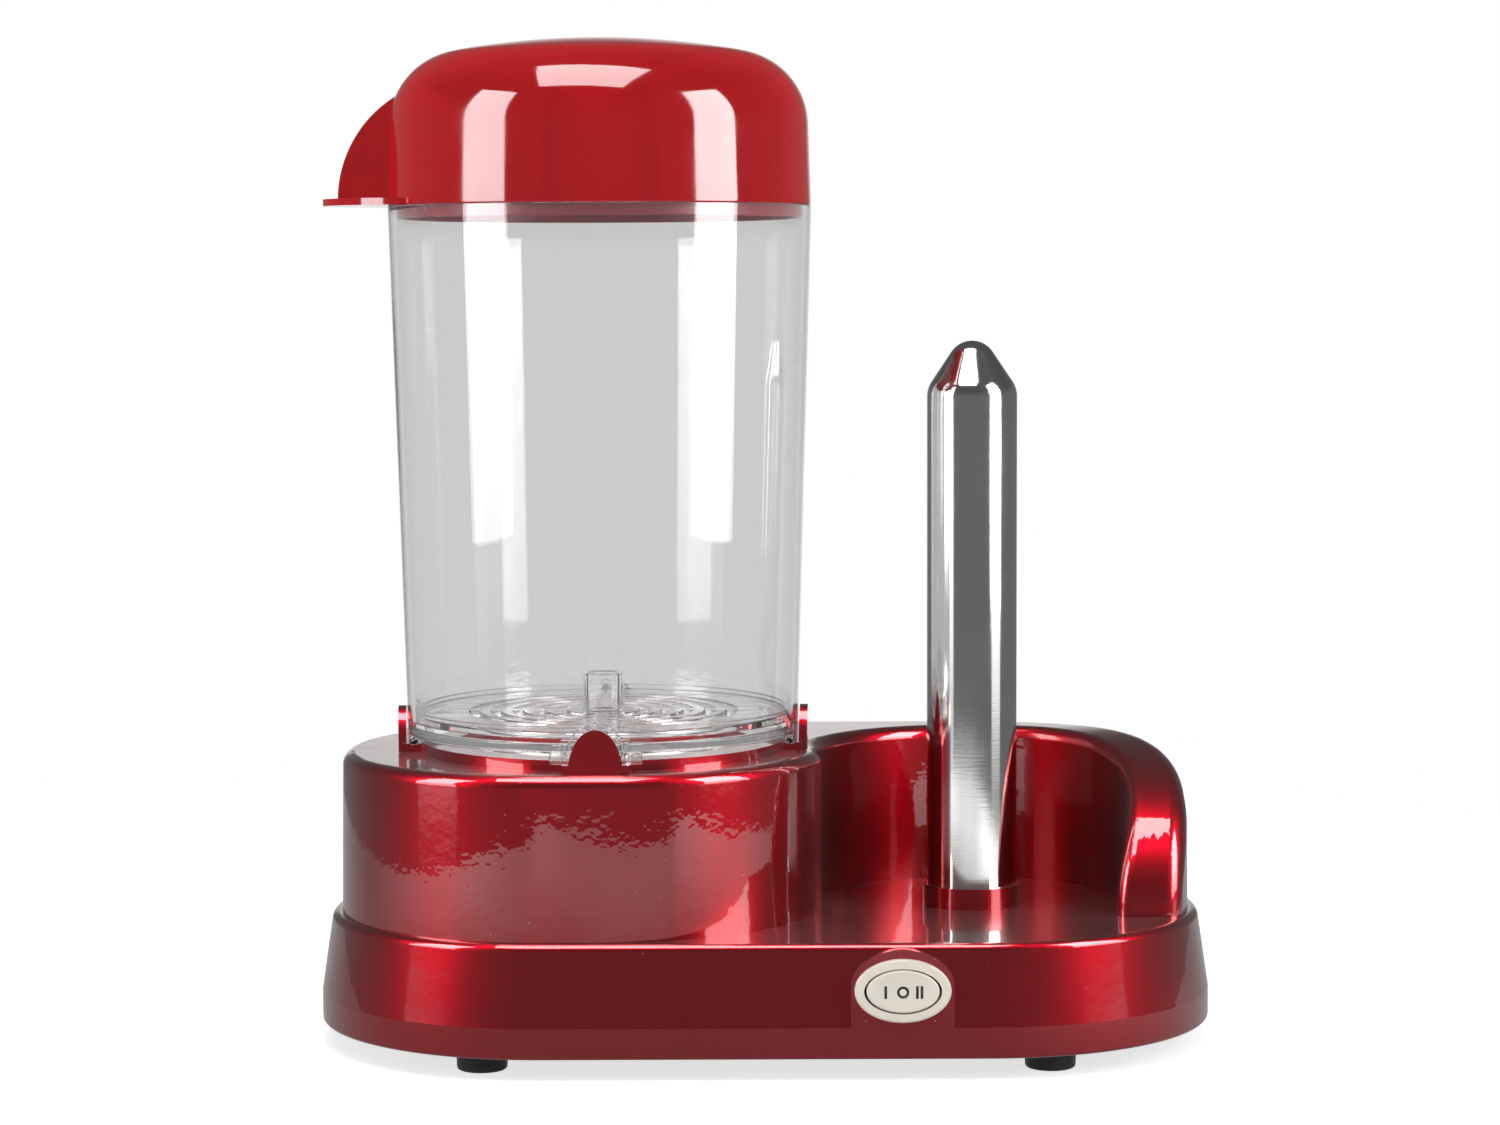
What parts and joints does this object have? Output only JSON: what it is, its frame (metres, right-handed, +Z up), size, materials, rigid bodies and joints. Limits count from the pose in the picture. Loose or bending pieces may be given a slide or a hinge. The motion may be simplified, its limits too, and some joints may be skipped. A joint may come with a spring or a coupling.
{
  "type": "hot dog steamer",
  "caption": "Countertop hot dog steamer: oval plinth, boiler housing with a clear lidded container and a bread recess with a heated steel spike.",
  "frame": {"origin": "centre of the footprint on the table", "axes": "+Z up, front of the steamer towards -Y, bread spike towards +X"},
  "size_m": [0.2916, 0.1604, 0.3264],
  "materials": {
    "red_metallic": "metallic lacquer, glossy",
    "red_gloss": "glossy moulded",
    "clear_plastic": "clear moulded plastic",
    "polished_steel": "polished stainless steel",
    "cream_plastic": "satin moulded",
    "black_rubber": "matt",
    "black_plastic": "matt moulded",
    "steel": "plain sheet",
    "zinc": "zinc plated",
    "aluminium": "cast",
    "white_ceramic": "unglazed ceramic",
    "silicone": "translucent white silicone",
    "brass": "plain",
    "wire_brown": "silicone insulation",
    "wire_blue": "silicone insulation",
    "white_plastic": "moulded"
  },
  "bodies": {
    "base": {"plinth": "red_metallic", "upper_housing": "red_metallic", "bottom_plate": "black_plastic", "foot_front_left": "black_rubber", "foot_front_right": "black_rubber", "foot_back_left": "black_rubber", "foot_back_right": "black_rubber", "bottom_screws": "zinc", "housing_screws": "zinc", "switch_bezel": "cream_plastic", "switch_body": "black_plastic", "switch_terminals": "brass", "boiler_seal": "silicone", "boiler_dish": "polished_steel", "boiler_clamp": "steel", "boiler_screws": "zinc", "heater_plate": "aluminium", "heating_element": "steel", "thermostat": "aluminium", "thermal_fuse": "white_ceramic", "fuse_saddle": "steel", "bread_spike": "polished_steel", "spike_clamp": "steel", "spike_screws": "zinc", "spike_insulator": "white_ceramic", "spike_heater": "steel", "spike_heater_cap": "white_ceramic", "cord_gland": "black_plastic", "cord_clamp": "black_plastic", "cord_clamp_screws": "zinc", "terminal_block": "white_plastic", "terminal_screws": "brass", "wire_switch_feed": "wire_brown", "wire_boiler_live": "wire_brown", "wire_boiler_return": "wire_blue", "wire_spike_live": "wire_brown", "wire_spike_return": "wire_blue"},
    "container": {"container": "clear_plastic"},
    "lid": {"lid": "red_gloss"},
    "tray": {"sausage_tray": "clear_plastic"},
    "rocker": {"switch_rocker": "cream_plastic"}
  },
  "joints": [
    {"name": "container_lift", "type": "slide", "parent": "base", "child": "container", "axis": [0, 0, 1], "range_m": [0, 0.06]},
    {"name": "lid_lift", "type": "slide", "parent": "container", "child": "lid", "axis": [0, 0, 1], "range_m": [0, 0.07]},
    {"name": "tray_lift", "type": "slide", "parent": "container", "child": "tray", "axis": [0, 0, 1], "range_m": [0, 0.14]},
    {"name": "rocker_turn", "type": "hinge", "parent": "base", "child": "rocker", "pos_m": [0.0423, -0.0767, 0.0288], "axis": [0, 0, 1], "range_deg": [-8, 8]}
  ]
}
